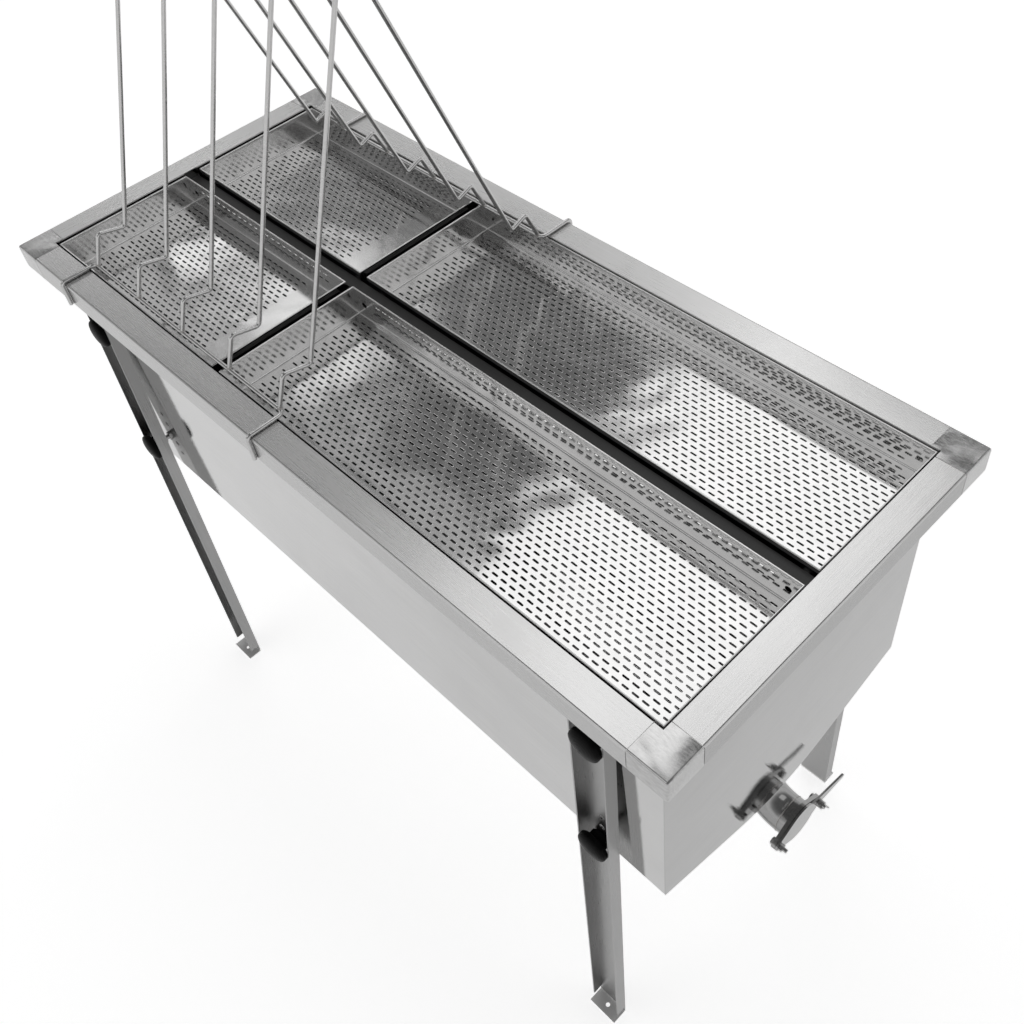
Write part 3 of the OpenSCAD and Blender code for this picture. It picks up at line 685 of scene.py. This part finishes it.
def thread(name, stud, nut, nut_t):
    """Ridges on the end of a stud that stands out of its nut, along X."""
    low, high = ends(nut)
    y, z = (low[1] + high[1]) / 2, (low[2] + high[2]) / 2
    start, stop = low[0] + nut_t + 0.2, ends(stud)[1][0] - 0.3
    profile = [(0, THREAD_R)]
    for k in range(int((stop - start) / THREAD_PITCH)):
        profile += [((k + 0.5) * THREAD_PITCH, THREAD_R + THREAD_RISE), ((k + 1) * THREAD_PITCH, THREAD_R)]
    b = Build()
    b.revolve(profile, (start, y, z), (1, 0, 0), 24)
    make(name, b.verts, b.faces, FINISH["fastener"], "tank", 60)


pipe_weld()
thread("pivot_thread", "pivot_bolt", "pivot_nut", NUT_T)
thread("clamp_thread", "clamp_stud", "wing_nut", HUB_H)


# Floor, backdrop and lamps

FLOOR_HALF, FLOOR_Z = 14.0, -0.0005
FLOOR_SEEN, FLOOR_MIRRORED = 0.66, 0.45
# Backdrop as metal sees it: (sine of the height above the horizon, strength)
BACKDROP = ((0.0, 0.9), (0.25, 0.8), (0.45, 0.32), (0.58, 0.24), (0.68, 0.18), (1.0, 0.16))
LAMP_Z = 3.2
# Soft boxes that face down: name, place, size and power
LAMPS = (
    ("key", (-0.55, 1.25), (1.4, 2.3), 13),
    ("far", (-2.6, 2.75), (3.4, 0.7), 10.5),
    ("left", (-2.8, 1.3), (0.8, 0.7), 1.9),
    ("far_left", (-3.65, 1.25), (0.3, 0.5), 0.6),
    ("fill", (-2.6, 0.7), (2.8, 0.4), 1.2),
    ("end", (-4.5, 1.4), (0.6, 2.0), 5),
    ("right", (2.9, 1.8), (2.4, 2.2), 11),
    ("near", (-1.1, -2.1), (2.4, 2.0), 12),
)


def floor():
    """A pale floor that the camera sees nearly white and that keeps the object's shadow."""
    mesh = bpy.data.meshes.new("floor")
    r, z = FLOOR_HALF, FLOOR_Z
    mesh.from_pydata([(-r, -r, z), (r, -r, z), (r, r, z), (-r, r, z)], [], [(0, 1, 2, 3)])
    obj = bpy.data.objects.new("floor", mesh)
    scene.collection.objects.link(obj)
    m, n = new_material("floor")
    path = n.add("ShaderNodeLightPath")
    mirrored = n.maths("MAXIMUM", path.outputs["Is Glossy Ray"], path.outputs["Is Transmission Ray"])
    seen = n.maths("ADD", n.maths("MULTIPLY", path.outputs["Is Camera Ray"], FLOOR_SEEN),
                   n.maths("MULTIPLY", mirrored, FLOOR_MIRRORED))
    paper = n.add("ShaderNodeBsdfPrincipled", {
        "Base Color": grey(0.8), "Roughness": 0.9, "Specular IOR Level": 0.1})
    glow = n.add("ShaderNodeEmission", {"Color": grey(1.0), "Strength": seen})
    both = n.add("ShaderNodeAddShader", {0: paper.outputs[0], 1: glow.outputs[0]})
    n.add("ShaderNodeOutputMaterial", {"Surface": both.outputs[0]})
    mesh.materials.append(m)


def sky():
    """A white backdrop for the camera; metal sees it darken towards the ceiling."""
    world = bpy.data.worlds.new("studio")
    scene.world = world
    world.use_nodes = True
    n = Nodes(world.node_tree)
    ray = n.add("ShaderNodeTexCoord").outputs["Generated"]
    height = n.add("ShaderNodeSeparateXYZ", {0: ray}).outputs["Z"]
    dim = n.add("ShaderNodeValToRGB", {"Fac": n.span(height, 0.0, 1.0)})
    ramp = dim.color_ramp
    for place, value in BACKDROP:
        stop = ramp.elements[-int(place)] if place in (0.0, 1.0) else ramp.elements.new(place)
        stop.color = grey(value)
    path = n.add("ShaderNodeLightPath")
    seen = n.maths("MAXIMUM", path.outputs["Is Camera Ray"], path.outputs["Is Transmission Ray"])
    n.add("ShaderNodeOutputWorld", {"Surface": n.add("ShaderNodeBackground", {
        "Color": n.blend(seen, dim.outputs[0], grey(1.0)), "Strength": 1.0}).outputs[0]})


def lamp(name, place, size, power):
    data = bpy.data.lights.new(name, "AREA")
    data.shape = "RECTANGLE"
    data.size, data.size_y = size
    data.energy = power
    obj = bpy.data.objects.new(name, data)
    obj.location = (*place, LAMP_Z)
    obj.rotation_euler = Vector((0.0, 0.0, -LAMP_Z)).to_track_quat("-Z", "Y").to_euler()
    scene.collection.objects.link(obj)


floor()
sky()
for spec in LAMPS:
    lamp(*spec)


# Camera, solved from the photograph

def camera():
    data = bpy.data.cameras.new("camera")
    data.sensor_width = 36.0
    data.lens = 39.89
    data.shift_x, data.shift_y = -0.0465, -0.0315
    data.clip_start, data.clip_end = 0.05, 60.0
    obj = bpy.data.objects.new("camera", data)
    place, aim = Vector((0.9335, -0.6230, 1.898)), Vector((0.2928, -0.0763, 0.940))
    roll = math.radians(-6.494)
    turn = (aim - place).to_track_quat("-Z", "Y").to_matrix() @ Matrix.Rotation(roll, 3, "Z")
    obj.matrix_world = Matrix.Translation(place) @ turn.to_4x4()
    scene.collection.objects.link(obj)
    scene.camera = obj


camera()
scene.view_settings.view_transform = "Standard"
